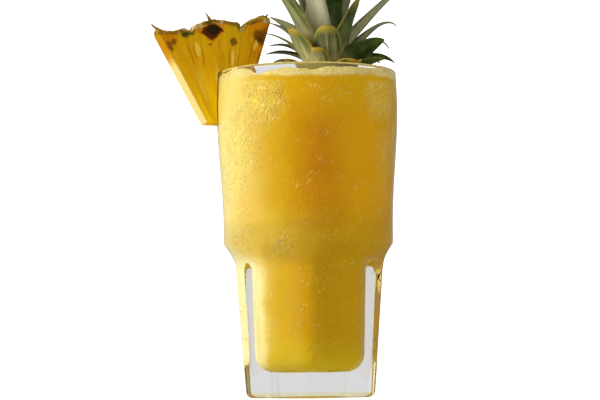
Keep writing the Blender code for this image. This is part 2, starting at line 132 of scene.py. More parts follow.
def turned(outline, steps, first_angle=0.0):
    """A closed shape turned round Z from (radius, height) points, the first and last on the axis."""
    shape = bmesh.new()
    start = Matrix.Rotation(first_angle, 3, "Z") @ Vector((0, -1, 0))
    points = [shape.verts.new(start * radius + Vector((0, 0, height))) for radius, height in outline]
    edges = [shape.edges.new(pair) for pair in zip(points, points[1:])]
    bmesh.ops.spin(
        shape,
        geom=points + edges,
        axis=(0, 0, 1),
        cent=(0, 0, 0),
        angle=math.tau,
        steps=steps,
        use_merge=True,
    )
    bmesh.ops.remove_doubles(shape, verts=shape.verts, dist=0.002 * MM)
    bmesh.ops.recalc_face_normals(shape, faces=shape.faces)
    return shape


def finished(name, shape, finish, slot, *replaced):
    """The object of a finished shape, smooth, in its material, riding with the drink."""
    mesh = bpy.data.meshes.new(name)
    shape.to_mesh(mesh)
    shape.free()
    mesh.shade_smooth()
    mesh.materials.append(finish)
    piece = bpy.data.objects.new(name, mesh)
    bpy.context.scene.collection.objects.link(piece)
    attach(piece, "root")
    if replaced:
        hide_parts(*replaced)
    return piece


def new_finish(name, settings):
    """A material, its node tree, and its Principled shader with what is the same all over the surface."""
    made = bpy.data.materials.new(name)
    made.use_nodes = True
    shader = made.node_tree.nodes["Principled BSDF"]
    for socket, value in settings.items():
        shader.inputs[socket].default_value = value
    return made, made.node_tree, shader


def feed(tree, value, socket):
    """Links a socket's value, or sets a plain one."""
    if isinstance(value, bpy.types.NodeSocket):
        tree.links.new(value, socket)
    else:
        socket.default_value = value


def calc(tree, operation, first, second=0.5):
    made = tree.nodes.new("ShaderNodeMath")
    made.operation = operation
    feed(tree, first, made.inputs[0])
    feed(tree, second, made.inputs[1])
    return made.outputs[0]


def times(tree, first, second):
    return calc(tree, "MULTIPLY", first, second)


def plus(tree, first, second):
    return calc(tree, "ADD", first, second)


def minus(tree, first, second):
    return calc(tree, "SUBTRACT", first, second)


def ramp(tree, value, low, high, start=0.0, end=1.0):
    """start where the value is at low and end where it is at high, smooth between them."""
    made = tree.nodes.new("ShaderNodeMapRange")
    made.interpolation_type = "SMOOTHSTEP"
    for slot, part in enumerate((value, low, high, start, end)):
        feed(tree, part, made.inputs[slot])
    return made.outputs["Result"]


def tint(tree, share, first, second):
    """The first colour turned into the second by the share."""
    made = tree.nodes.new("ShaderNodeMix")
    made.data_type = "RGBA"
    feed(tree, share, made.inputs["Factor"])
    for slot, colour in ((6, first), (7, second)):
        feed(tree, colour if isinstance(colour, bpy.types.NodeSocket) else (*colour, 1), made.inputs[slot])
    return made.outputs[2]


def clouds(tree, where, scale, detail=4.0, roughness=0.55, distortion=0.0):
    made = tree.nodes.new("ShaderNodeTexNoise")
    feed(tree, where, made.inputs["Vector"])
    names = ("Scale", "Detail", "Roughness", "Distortion")
    for name, value in zip(names, (scale, detail, roughness, distortion)):
        feed(tree, value, made.inputs[name])
    return made.outputs["Fac"]


def relief(tree, shader, height, strength, distance):
    made = tree.nodes.new("ShaderNodeBump")
    made.inputs["Strength"].default_value = strength
    made.inputs["Distance"].default_value = distance
    feed(tree, height, made.inputs["Height"])
    tree.links.new(made.outputs["Normal"], shader.inputs["Normal"])


def parted(tree, vector):
    """The X, Y and Z of a vector."""
    made = tree.nodes.new("ShaderNodeSeparateXYZ")
    feed(tree, vector, made.inputs["Vector"])
    return made.outputs


def in_object(tree):
    """Where a point lies on the object."""
    return tree.nodes.new("ShaderNodeTexCoord").outputs["Object"]


lip_low = TUMBLER_TALL - LIP_RADIUS
outside = [FOOT_FILLET * (1 - math.cos(math.pi / 2 * i / 8)) for i in range(9)]
outside += steps_between(FOOT_FILLET, ARCH_LOW, 20)[1:]
outside += steps_between(ARCH_LOW, SHOULDER_HIGH + 3 * MM, 40)[1:]
outside += steps_between(SHOULDER_HIGH + 3 * MM, lip_low, 30)[1:]
inside = steps_between(BASE_THICKNESS + HOLLOW_CORNER, lip_low, 70)[::-1]
inside += [BASE_THICKNESS + HOLLOW_CORNER * (1 - math.sin(math.pi / 2 * i / 10)) for i in range(1, 11)]
tumbler_outline = [(0, 0)] + [(outer_radius(z), z) for z in outside]
lip_centre = outer_radius(lip_low) - LIP_RADIUS
for i in range(1, 10):
    turn = math.pi * i / 10
    tumbler_outline.append((lip_centre + LIP_RADIUS * math.cos(turn), lip_low + LIP_RADIUS * math.sin(turn)))
tumbler_outline += [(hollow_radius(z), z) for z in inside] + [(0, BASE_THICKNESS)]
tumbler_shape = turned(tumbler_outline, TUMBLER_STEPS, PILLAR_ANGLE)
for vert in tumbler_shape.verts:
    angle = math.atan2(vert.co.x, -vert.co.y)
    if math.hypot(vert.co.x, vert.co.y) > outer_radius(vert.co.z) - 0.05 * MM:
        share = pressed_share(angle, vert.co.z, outer_radius(vert.co.z), PRESSED_EDGE)
    else:
        share = inner_share(angle, vert.co.z)
    vert.co.x *= share
    vert.co.y *= share

# Its index is a little low for glass, which puts the clear bands of the lower wall where the photograph
# has them.
clear_glass, tree, shader = new_finish(
    "clear_glass", {"Roughness": 0.0, "IOR": 1.42, "Transmission Weight": 1.0}
)
# The rounded edge of the foot is painted with the drink's yellow. This is painted light, standing in for the
# caustic the drink throws there.
where = in_object(tree)
above_floor = parted(tree, where)["Z"]
foot_caustic_share = ramp(tree, above_floor, 3.2 * MM, 2.2 * MM)
foot_caustic_share = times(tree, ramp(tree, above_floor, 0.02 * MM, 0.1 * MM), foot_caustic_share)
painted_caustic_tone = tint(tree, foot_caustic_share, (0.985, 0.995, 0.99), (0.97, 0.90, 0.48))
tree.links.new(painted_caustic_tone, shader.inputs["Base Color"])
# Pressed glass is never quite flat, and light passes through it to what it holds.
relief(tree, shader, clouds(tree, where, 70.0, 1.0, 0.5), 0.12, 0.3 * MM)
path = tree.nodes.new("ShaderNodeLightPath")
see_through = tree.nodes.new("ShaderNodeBsdfTransparent")
see_through.inputs["Color"].default_value = (0.95, 0.97, 0.96, 1)
mixed = tree.nodes.new("ShaderNodeMixShader")
tree.links.new(path.outputs["Is Shadow Ray"], mixed.inputs["Fac"])
tree.links.new(shader.outputs["BSDF"], mixed.inputs[1])
tree.links.new(see_through.outputs["BSDF"], mixed.inputs[2])
tree.links.new(mixed.outputs["Shader"], tree.nodes["Material Output"].inputs["Surface"])
finished("tumbler", tumbler_shape, clear_glass, "clear_glass", "glass")

# The smoothie. Blended pineapple and crushed ice: an opaque golden pulp that fills the tumbler, with
# paler slush caught in it. It reaches just into the glass wall, so that the two meet with no gap.
DRINK_STEPS = 240
DRINK_TOP = 142.6 * MM
INTO_WALL = 0.25 * MM
CORNER = 0.06 * MM
PULP_RELIEF = 0.12 * MM


def cells(tree, where, scale, feature="F1", randomness=1.0):
    made = tree.nodes.new("ShaderNodeTexVoronoi")
    made.feature = feature
    feed(tree, where, made.inputs["Vector"])
    made.inputs["Scale"].default_value = scale
    made.inputs["Randomness"].default_value = randomness
    return made


def new_group(name, inputs, outputs):
    """An empty shader group with named sockets: its tree, and its inner input and output nodes."""
    group = bpy.data.node_groups.new(name, "ShaderNodeTree")
    for label, kind in inputs:
        group.interface.new_socket(name=label, in_out="INPUT", socket_type=kind)
    for label, kind in outputs:
        group.interface.new_socket(name=label, in_out="OUTPUT", socket_type=kind)
    return group, group.nodes.new("NodeGroupInput"), group.nodes.new("NodeGroupOutput")


def use_group(tree, group, **values):
    made = tree.nodes.new("ShaderNodeGroup")
    made.node_tree = group
    for name, value in values.items():
        feed(tree, value, made.inputs[name])
    return made


# Crushed ice in pulp: pale slivers that lie slanting in loose drifts, and a fine grain over all of it.
tree, given, result = new_group(
    "slush_flakes",
    (("Where", "NodeSocketVector"), ("Drift", "NodeSocketFloat"), ("Sliver Scale", "NodeSocketFloat")),
    (("Slivers", "NodeSocketFloat"), ("Grain", "NodeSocketFloat")),
)
slush = tree
slanting = tree.nodes.new("ShaderNodeMapping")
slanting.vector_type = "TEXTURE"
slanting.inputs["Rotation"].default_value = (0, math.radians(38), 0)
slanting.inputs["Scale"].default_value = (1.0, 1.0, 2.2)
tree.links.new(given.outputs["Where"], slanting.inputs["Vector"])
drift = clouds(tree, given.outputs["Where"], 85.0, 4.0, 0.6, 0.8)
sliver = clouds(tree, slanting.outputs["Vector"], given.outputs["Sliver Scale"], 4.0, 0.62, 0.7)
amount = plus(tree, times(tree, drift, 0.55), given.outputs["Drift"])
threshold = minus(tree, 0.93, amount)
soft = plus(tree, threshold, 0.09)
tree.links.new(ramp(tree, sliver, threshold, soft), result.inputs["Slivers"])
tree.links.new(clouds(tree, given.outputs["Where"], 900.0, 3.0, 0.6), result.inputs["Grain"])

# The pulp's colour, with painted light in it: deepest in the middle, yellower towards the top, the sides and
# the foot, and palest on the left, where slush lies and where the painted light is strongest.
tree, given, result = new_group(
    "pulp_and_painted_light", (("Where", "NodeSocketVector"),), (("Colour", "NodeSocketColor"),)
)
pulp_and_painted_light = tree
pulp_where = given.outputs["Where"]
split = parted(tree, pulp_where)
wander = times(tree, clouds(tree, pulp_where, 40.0, 3.0), 20 * MM)
height = plus(tree, split["Z"], wander)
widened = ramp(tree, split["Z"], 58 * MM, 74 * MM, 1.45, 1.0)
widened = times(tree, split["X"], widened)
wander = minus(tree, clouds(tree, pulp_where, 45.0, 3.0), 0.5)
across = plus(tree, widened, times(tree, wander, 12 * MM))
mottled = ramp(tree, clouds(tree, pulp_where, 38.0, 3.0, 0.5), 0.36, 0.66)
pulp = tint(tree, mottled, (0.51, 0.20, 0.0008), (0.55, 0.245, 0.0008))
# Its colours across the glass: where each starts and is full, in millimetres right of the middle. They are
# partly painted light: the right is painted brighter where the lamp's light falls off, and the pale left is
# partly slush and partly painted light.
PULP_ACROSS_WITH_PAINTED_LIGHT = (
    (4, 24, (0.72, 0.375, 0.002)),
    (30, 43, (0.60, 0.335, 0.001)),
    (4, -15, (0.56, 0.325, 0.0004)),
    (-15, -37, (0.69, 0.54, 0.15)),
)
# The same up the glass, with how much of each there is.
PULP_UPWARDS = ((128, 148, 0.6, (0.68, 0.405, 0.0015)), (104, 78, 0.85, (0.49, 0.28, 0.001)))
for low, high, colour in PULP_ACROSS_WITH_PAINTED_LIGHT:
    pulp = tint(tree, ramp(tree, across, low * MM, high * MM), pulp, colour)
not_left = ramp(tree, across, -20 * MM, 4 * MM)
for low, high, share, colour in PULP_UPWARDS:
    share = times(tree, not_left, ramp(tree, height, low * MM, high * MM, 0.0, share))
    pulp = tint(tree, share, pulp, colour)
foot = ramp(tree, height, 40 * MM, 26 * MM, 0.0, 0.75)
pulp = tint(tree, foot, pulp, (0.53, 0.37, 0.001))
# Where the round shoulder faces down into its own shade, it is painted lighter, most of all towards the left.
# This is painted light against that shade.
shoulder_painted_light = ramp(tree, height, 98 * MM, 82 * MM)
shoulder_painted_light = times(tree, ramp(tree, height, 70 * MM, 78 * MM), shoulder_painted_light)
shoulder_painted_light = times(tree, shoulder_painted_light, ramp(tree, across, 14 * MM, -8 * MM, 0.0, 0.4))
pulp = tint(tree, shoulder_painted_light, pulp, (0.78, 0.54, 0.05))
# Low on the left, the pulp is painted pale. This is partly the slush that lies there and partly painted
# light, where the lamp falls strongest.
low_left_painted_light = ramp(tree, across, -23 * MM, -33 * MM)
low_left_painted_light = times(tree, low_left_painted_light, ramp(tree, height, 84 * MM, 72 * MM))
pulp = tint(tree, low_left_painted_light, pulp, (0.80, 0.71, 0.34))
tree.links.new(pulp, result.inputs["Colour"])

heights = [BASE_THICKNESS + HOLLOW_CORNER * (1 - math.cos(math.pi / 2 * i / 10)) for i in range(11)]
heights += steps_between(BASE_THICKNESS + HOLLOW_CORNER, DRINK_TOP, 100)[1:]
drink_outline = [(0, BASE_THICKNESS - INTO_WALL)]
drink_outline += [(hollow_radius(z) + INTO_WALL, z if z > BASE_THICKNESS else z - INTO_WALL) for z in heights]
drink_outline.insert(-1, (drink_outline[-1][0], DRINK_TOP - CORNER))
drink_outline += [(drink_outline[-1][0] - CORNER, DRINK_TOP), (0, DRINK_TOP)]
drink_shape = turned(drink_outline, DRINK_STEPS)
for vert in drink_shape.verts:
    share = inner_share(math.atan2(vert.co.x, -vert.co.y), vert.co.z)
    vert.co.x *= share
    vert.co.y *= share
    if BASE_THICKNESS < vert.co.z < DRINK_TOP - 1 * MM:
        lump = noise.fractal(vert.co / (3.2 * MM), 1.0, 2.0, 3)
        radius = math.hypot(vert.co.x, vert.co.y)
        share = 1 + max(-INTO_WALL * 0.7, PULP_RELIEF * lump) / radius
        vert.co.x *= share
        vert.co.y *= share

smoothie, tree, shader = new_finish("smoothie", {"Roughness": 0.55, "IOR": 1.34, "Specular IOR Level": 0.15})
where = in_object(tree)
# Where most of the slush lies: its middle (x, y, z), how far it spreads and how thick it is, in millimetres.
SLUSH_DRIFTS = (
    ((-20, -33, 133), 19, 0.13),
    ((-38, -17, 112), 30, 0.14),
    ((33, -22, 136), 17, 0.13),
    ((36, -14, 112), 20, 0.08),
    ((-14, -30, 68), 12, 0.09),
    ((-34, -20, 74), 18, 0.07),
    ((30, 26, 118), 26, 0.12),
    ((-20, 34, 126), 24, 0.12),
    ((0, 38, 88), 22, 0.10),
)
gathered = 0.0
for middle, spread, thick in SLUSH_DRIFTS:
    away = tree.nodes.new("ShaderNodeVectorMath")
    away.operation = "DISTANCE"
    tree.links.new(where, away.inputs[0])
    away.inputs[1].default_value = [part * MM for part in middle]
    near = ramp(tree, away.outputs["Value"], spread * MM, spread * 0.3 * MM, 0.0, thick)
    gathered = calc(tree, "MAXIMUM", near, gathered)
slivers = use_group(tree, slush, Where=where, Drift=plus(tree, gathered, 0.01), **{"Sliver Scale": 800.0})
small = use_group(tree, slush, Where=where, Drift=plus(tree, gathered, 0.03), **{"Sliver Scale": 1500.0})
pulp = use_group(tree, pulp_and_painted_light, Where=where).outputs["Colour"]
pulp = tint(tree, ramp(tree, gathered, 0.02, 0.16, 0.0, 0.22), pulp, (0.74, 0.61, 0.08))
pulp = tint(tree, times(tree, small.outputs["Slivers"], 0.25), pulp, (0.90, 0.74, 0.16))
pulp = tint(tree, times(tree, slivers.outputs["Slivers"], 0.4), pulp, (0.92, 0.78, 0.24))
# Specks of ice, too small to have a shape, lie everywhere.
specks = cells(tree, where, 620.0)
speck = ramp(tree, specks.outputs["Distance"], 0.20, 0.10)
pick = parted(tree, specks.outputs["Color"])
speck = times(tree, speck, ramp(tree, pick["X"], 0.55, 0.9, 0.0, 0.35))
pulp = tint(tree, speck, pulp, (0.90, 0.72, 0.14))
tree.links.new(pulp, shader.inputs["Base Color"])
uneven = plus(tree, slivers.outputs["Grain"], slivers.outputs["Slivers"])
relief(tree, shader, uneven, 0.35, 0.35 * MM)
finished("smoothie_pulp", drink_shape, smoothie, "smoothie", "smoothie")

# Slivers of ice. Shavings from the blender, pale with pulp, that lie pressed against the glass, most of
# them in the drifts. Each is a thin scrap set slanting into the pulp's surface.
SLIVER_DRAWS = 36000
SLIVERS_AT_MOST = 8000
LOOSE_SHARE = 0.045
SLIVER_HALF_LENGTH = 1.35 * MM
SLIVER_HALF_WIDTHS = (0.16 * MM, 0.34 * MM)
SLIVER_HALF_THICK = 0.22 * MM
scrap = bmesh.new()
bmesh.ops.create_icosphere(scrap, subdivisions=1, radius=1.0)
scrap_points = [vert.co.copy() for vert in scrap.verts]
scrap_faces = [[vert.index for vert in face.verts] for face in scrap.faces]
scrap.free()
sliver_draw = random.Random(11)
sliver_points, sliver_faces, sliver_pale = [], [], []
for _ in range(SLIVER_DRAWS):
    angle = sliver_draw.uniform(-math.pi, math.pi)
    height = sliver_draw.uniform(BASE_THICKNESS + HOLLOW_CORNER, DRINK_TOP - 1 * MM)
    chance = sliver_draw.random()
    long = sliver_draw.uniform(0.35, 1.0) ** 1.5 * SLIVER_HALF_LENGTH
    wide = sliver_draw.uniform(*SLIVER_HALF_WIDTHS)
    slant = math.radians(sliver_draw.gauss(34, 16))
    pale = sliver_draw.random()
    reach = hollow_radius(height) * inner_share(angle, height)
    outward = Vector((math.sin(angle), -math.cos(angle), 0))
    spot = outward * reach + Vector((0, 0, height))
    drifted = 0.0
    for middle, spread, thick in SLUSH_DRIFTS:
        near = 1 - ease((spot / MM - Vector(middle)).length, spread * 0.3, spread)
        drifted = max(drifted, near * thick * 6.5)
    likely = max(LOOSE_SHARE, drifted)
    long *= 0.55 + 0.65 * min(1.0, drifted)
    wide *= 1.0 + 0.25 * min(1.0, drifted)
    pale *= 0.5 + 0.5 * min(1.0, drifted)
    likely *= 0.5 + 1.3 * ease(noise.noise(spot / (5 * MM)), -0.3, 0.4)
    if chance > likely or len(sliver_faces) >= SLIVERS_AT_MOST * len(scrap_faces):
        continue
    sideways = Vector((math.cos(angle), math.sin(angle), 0))
    course = sideways * math.sin(slant) + Vector((0, 0, math.cos(slant)))
    turn = Matrix((course.cross(outward), course, outward)).transposed()
    first = len(sliver_points)
    spot += outward * INTO_WALL
    for point in scrap_points:
        bent = 0.25 * wide * math.cos(2 * point.y + pale)
        placed = Vector((wide * point.x + bent, long * point.y, SLIVER_HALF_THICK * point.z))
        sliver_points.append(spot + turn @ placed)
    sliver_faces += [[first + index for index in face] for face in scrap_faces]
    sliver_pale += [pale] * len(scrap_points)
ice_mesh = bpy.data.meshes.new("ice_slivers")
ice_mesh.from_pydata(sliver_points, [], sliver_faces)
ice_mesh.attributes.new("pale", "FLOAT", "POINT").data.foreach_set("value", sliver_pale)
slivers_shape = bmesh.new()
slivers_shape.from_mesh(ice_mesh)
bpy.data.meshes.remove(ice_mesh)
bmesh.ops.recalc_face_normals(slivers_shape, faces=slivers_shape.faces)


def read(tree, name):
    """A float that every point of the mesh carries."""
    made = tree.nodes.new("ShaderNodeAttribute")
    made.attribute_name = name
    return made.outputs["Fac"]


pulpy_ice, tree, shader = new_finish("pulpy_ice", {"Roughness": 0.4, "Specular IOR Level": 0.2})
where = in_object(tree)
under_ice = use_group(tree, pulp_and_painted_light, Where=where).outputs["Colour"]
cloudy = ramp(tree, read(tree, "pale"), 0.0, 1.0, 0.15, 0.62)
cloudy = times(tree, ramp(tree, clouds(tree, where, 900.0, 3.0), 0.3, 0.7, 0.7, 1.1), cloudy)
ice = tint(tree, cloudy, under_ice, (0.88, 0.80, 0.28))
tree.links.new(ice, shader.inputs["Base Color"])
relief(tree, shader, clouds(tree, where, 1400.0, 2.0), 0.3, 0.2 * MM)
finished("ice_slivers", slivers_shape, pulpy_ice, "smoothie")

# The froth. Fine cream-coloured foam of juice and air that floats on the smoothie. It is level and bubbly in
# the middle, and climbs the glass in a ragged ring with dips in it. It rests on the drink.
FROTH_FLOOR = 142.4 * MM
FROTH_LEVEL = 144.6 * MM
FOAM_STARTS = 145.2 * MM
FOAM_FULL = 146.7 * MM
FROTH_STEPS = 240
FROTH_BUMP = 0.5 * MM
CLIMB_LEVEL = 147.6 * MM
CLIMB_WIDTH = 5.0 * MM
# Each dip in the ring, or rise where negative: the angle of its middle, its depth and its half width as an
# angle.
CLIMB_DIPS = (
    (math.radians(5), 1.2 * MM, math.radians(8)),
    (math.radians(-31), 2.4 * MM, math.radians(8)),
    (math.radians(-52), -1.7 * MM, math.radians(14)),
    (math.radians(58), -1.2 * MM, math.radians(24)),
    (math.radians(-90), 1.5 * MM, math.radians(10)),
)
froth_reach = hollow_radius(lip_low)


def froth_top(x, y):
    """Height of the froth: level and bubbly in the middle, and climbing the wall in a ragged ring."""
    radius = math.hypot(x, y)
    angle = math.atan2(x, -y)
    crest = CLIMB_LEVEL - FROTH_LEVEL + 0.5 * MM * noise.noise(Vector((angle * 9, 0.5, 2.0)))
    for middle, depth, width in CLIMB_DIPS:
        crest -= depth * math.exp(-(((angle - middle) / width) ** 2))
    climb = ease(radius, froth_reach - CLIMB_WIDTH, froth_reach)
    bump = noise.noise(Vector((x, y, 0)) / (4 * MM)) + 0.5 * noise.noise(Vector((x, y, 0)) / (1.6 * MM))
    return FROTH_LEVEL + crest * climb + FROTH_BUMP * bump


rings = steps_between(0.0, froth_reach - CLIMB_WIDTH, 44)
rings += steps_between(froth_reach - CLIMB_WIDTH, froth_reach, 14)[1:]
froth_outline = [(0, FROTH_FLOOR), (froth_reach - CORNER, FROTH_FLOOR), (froth_reach, FROTH_FLOOR)]
froth_outline.append((froth_reach, FROTH_FLOOR + CORNER))
froth_outline += [(radius, FROTH_LEVEL) for radius in rings[::-1]]
froth_shape = turned(froth_outline, FROTH_STEPS)
for vert in froth_shape.verts:
    if vert.co.z > FROTH_FLOOR + 1 * MM:
        vert.co.z = froth_top(vert.co.x, vert.co.y)
    widen = (hollow_radius(vert.co.z) + INTO_WALL) / froth_reach
    vert.co.x *= widen
    vert.co.y *= widen

froth_foam, tree, shader = new_finish("froth_foam", {"Roughness": 0.55, "Specular IOR Level": 0.15})
where = in_object(tree)
bubbles = cells(tree, where, 1600.0)
coarse = cells(tree, where, 700.0)
mottled = ramp(tree, clouds(tree, where, 150.0, 4.0, 0.6), 0.35, 0.7)
cream = tint(tree, mottled, (0.64, 0.46, 0.08), (0.75, 0.58, 0.18))
# The walls between bubbles are painted lighter, a painted highlight, and the pits of the coarse bubbles are
# painted darker, a painted shade.
cream = tint(tree, ramp(tree, bubbles.outputs["Distance"], 0.30, 0.62, 0.0, 0.5), cream, (0.86, 0.74, 0.38))
cream = tint(tree, ramp(tree, coarse.outputs["Distance"], 0.34, 0.12, 0.0, 0.35), cream, (0.50, 0.33, 0.06))
# Low down it is still drink, and the foam ends there in a soft ragged line.
split = parted(tree, where)
level = plus(tree, split["Z"], times(tree, clouds(tree, where, 160.0, 5.0, 0.65), 4.0 * MM))
level = minus(tree, level, ramp(tree, split["Y"], -28 * MM, -40 * MM, 1.2 * MM, 0.0))
off_axis = [calc(tree, "POWER", split[name], 2) for name in ("X", "Y")]
off_axis = calc(tree, "SQRT", plus(tree, *off_axis))
by_wall = ramp(tree, off_axis, froth_reach - 4 * MM, froth_reach - 1.5 * MM)
still_drink = times(tree, by_wall, ramp(tree, level, FOAM_FULL, FOAM_STARTS))
cream = tint(tree, still_drink, cream, use_group(tree, pulp_and_painted_light, Where=where).outputs["Colour"])
tree.links.new(cream, shader.inputs["Base Color"])
foam_height = plus(tree, coarse.outputs["Distance"], times(tree, bubbles.outputs["Distance"], 0.6))
foam_height = times(tree, foam_height, minus(tree, 1.0, still_drink))
relief(tree, shader, foam_height, 0.6, 0.5 * MM)
finished("froth_foam", froth_shape, froth_foam, "froth", "froth")

# The pineapple wedge. An eighth of a ripe slice: wet yellow flesh with rind on top, orange round the rind's
# eyes, and three spines. It is turned from a slice's cross-section, as it was cut, and slit from its tip so
# that it sits astride the rim on the left.
WEDGE_TURN = math.radians(14)
WEDGE_LEAN = math.radians(1.1)
WEDGE_THICKNESS = 13 * MM
WEDGE_APEX = Vector((-37.6 * MM, -0.4 * MM, 107.3 * MM))
WEDGE_LEFT = math.radians(-29.4)
WEDGE_RIGHT = math.radians(15.6)
WEDGE_TIP_CUT = 19.0 * MM
RIND_RADIUS = 66.2 * MM
# Each eye of the rind: its angle, how far it bulges, and its half width as an angle.
RIND_EYES = (
    (math.radians(-28.8), 4.4 * MM, math.radians(3.2)),
    (math.radians(-6.9), 1.8 * MM, math.radians(5.0)),
    (math.radians(13.8), 6.6 * MM, math.radians(6.0)),
)
RIND_NOTCHES = (math.radians(-17.0), math.radians(4.8))
NOTCH_DEPTH = 2.8 * MM
NOTCH_WIDTH = math.radians(1.3)
# Each spine: its angle, its lean from the radius, its length, its place through the thickness and its bend.
SPINES = (
    (math.radians(-28.4), math.radians(-30), 4.6 * MM, 2.0 * MM, 0.6 * MM),
    (math.radians(-7.6), math.radians(-10), 4.6 * MM, 2.0 * MM, -1.2 * MM),
    (math.radians(14.2), math.radians(14), 2.0 * MM, 1.0 * MM, 0.2 * MM),
)
SPINE_FOOT_RADIUS = 1.5 * MM
SPINE_TIP_RADIUS = 0.2 * MM
SPINE_ROOT = 3 * MM
FLESH_ACROSS = 120
FLESH_OUTWARDS = 70
FLESH_THROUGH = 16
GAP = 0.3 * MM
wedge_turn = Matrix.Rotation(WEDGE_TURN, 4, "Z") @ Matrix.Rotation(WEDGE_LEAN, 4, "Y")
wedge_place = Matrix.Translation(WEDGE_APEX) @ wedge_turn


def rind_radius(angle, depth):
    """Radius of the rind at an angle from straight up, and at a place through the wedge's thickness."""
    radius = RIND_RADIUS
    across = math.cos(math.pi * depth / (2.4 * WEDGE_THICKNESS)) ** 2
    for middle, bulge, width in RIND_EYES:
        radius += bulge * across * math.exp(-(((angle - middle) / width) ** 2))
    for middle in RIND_NOTCHES:
        radius -= NOTCH_DEPTH * math.exp(-(((angle - middle) / NOTCH_WIDTH) ** 2))
    rough = noise.noise(Vector((angle * 30, depth / (3 * MM), 4.0)))
    fine = noise.fractal(Vector((angle * 90, depth / (1.2 * MM), 1.0)), 1.0, 2.0, 3)
    return radius + 0.5 * MM * rough + 0.35 * MM * fine


# The slice's cross-section is a strip from near the apex to the rind, swept through the wedge's angle.
wedge_shape = bmesh.new()
bmesh.ops.create_grid(wedge_shape, x_segments=FLESH_OUTWARDS, y_segments=FLESH_THROUGH, size=0.5)
first_reach = WEDGE_TIP_CUT * 0.55
for vert in wedge_shape.verts:
    reach = first_reach + (RIND_RADIUS - first_reach) * (vert.co.x + 0.5)
    depth = WEDGE_THICKNESS * vert.co.y
    vert.co = (reach * math.sin(WEDGE_LEFT), depth, reach * math.cos(WEDGE_LEFT))
bmesh.ops.spin(
    wedge_shape,
    geom=wedge_shape.verts[:] + wedge_shape.edges[:] + wedge_shape.faces[:],
    axis=(0, 1, 0),
    cent=(0, 0, 0),
    angle=WEDGE_RIGHT - WEDGE_LEFT,
    steps=FLESH_ACROSS,
)
bmesh.ops.recalc_face_normals(wedge_shape, faces=wedge_shape.faces)
for vert in wedge_shape.verts:
    angle = math.atan2(vert.co.x, vert.co.z)
    reach = math.hypot(vert.co.x, vert.co.z)
    outward = (reach - first_reach) / (RIND_RADIUS - first_reach)
    grown = first_reach + (rind_radius(angle, vert.co.y) - first_reach) * outward
    reach += (grown - reach) * ease(outward, 0.6, 1.0)
    # Fibres run outwards from the core and stand up a little on the cut faces.
    fibre = noise.fractal(Vector((angle * 70, reach / (14 * MM), vert.co.y / (5 * MM))), 1.0, 2.0, 3)
    face = 1.0 if abs(vert.co.y) > 0.49 * WEDGE_THICKNESS else 0.0
    depth = vert.co.y + math.copysign(0.16 * MM * fibre, vert.co.y) * face
    vert.co = (reach * math.sin(angle), depth, reach * math.cos(angle))
cut = bmesh.ops.bisect_plane(
    wedge_shape,
    geom=wedge_shape.verts[:] + wedge_shape.edges[:] + wedge_shape.faces[:],
    plane_co=(0, 0, WEDGE_TIP_CUT),
    plane_no=(0, 0, -1),
    clear_outer=True,
)
tip_edges = [item for item in cut["geom_cut"] if isinstance(item, bmesh.types.BMEdge)]
bmesh.ops.holes_fill(wedge_shape, edges=tip_edges)
bmesh.ops.transform(wedge_shape, matrix=wedge_place, verts=wedge_shape.verts)
bmesh.ops.recalc_face_normals(wedge_shape, faces=wedge_shape.faces)

# The slit is the tumbler's wall near the rim, a little thicker on every side.
slit_heights = steps_between(100 * MM, lip_low, 12)
slit_ring = [(outer_radius(z) + GAP, z) for z in slit_heights]
for i in range(1, 6):
    turn = math.pi * i / 6
    grown = LIP_RADIUS + GAP
    slit_ring.append((lip_centre + grown * math.cos(turn), lip_low + grown * math.sin(turn)))
slit_ring += [(hollow_radius(z) - GAP, z) for z in slit_heights[::-1]]
slit_shape = bmesh.new()
points = [slit_shape.verts.new((0, -radius, height)) for radius, height in slit_ring]
edges = [slit_shape.edges.new((points[i - 1], points[i])) for i in range(len(points))]
bmesh.ops.spin(
    slit_shape,
    geom=points + edges,
    axis=(0, 0, 1),
    cent=(0, 0, 0),
    angle=math.tau,
    steps=TUMBLER_STEPS,
    use_merge=True,
)
bmesh.ops.remove_doubles(slit_shape, verts=slit_shape.verts, dist=0.002 * MM)
bmesh.ops.recalc_face_normals(slit_shape, faces=slit_shape.faces)


def cut_away(shape, cutter_shape):
    """The shape less the cutter's, by a Boolean on two passing objects."""
    passing = []
    for made in (shape, cutter_shape):
        mesh = bpy.data.meshes.new("passing")
        made.to_mesh(mesh)
        made.free()
        passing.append(bpy.data.objects.new("passing", mesh))
        bpy.context.scene.collection.objects.link(passing[-1])
    cut = passing[0].modifiers.new("slit", "BOOLEAN")
    cut.operation = "DIFFERENCE"
    cut.solver = "EXACT"
    cut.object = passing[1]
    bpy.context.view_layer.update()
    graph = bpy.context.evaluated_depsgraph_get()
    left = bmesh.new()
    left.from_mesh(passing[0].evaluated_get(graph).data)
    for obj in passing:
        bpy.data.objects.remove(obj, do_unlink=True)
    return left


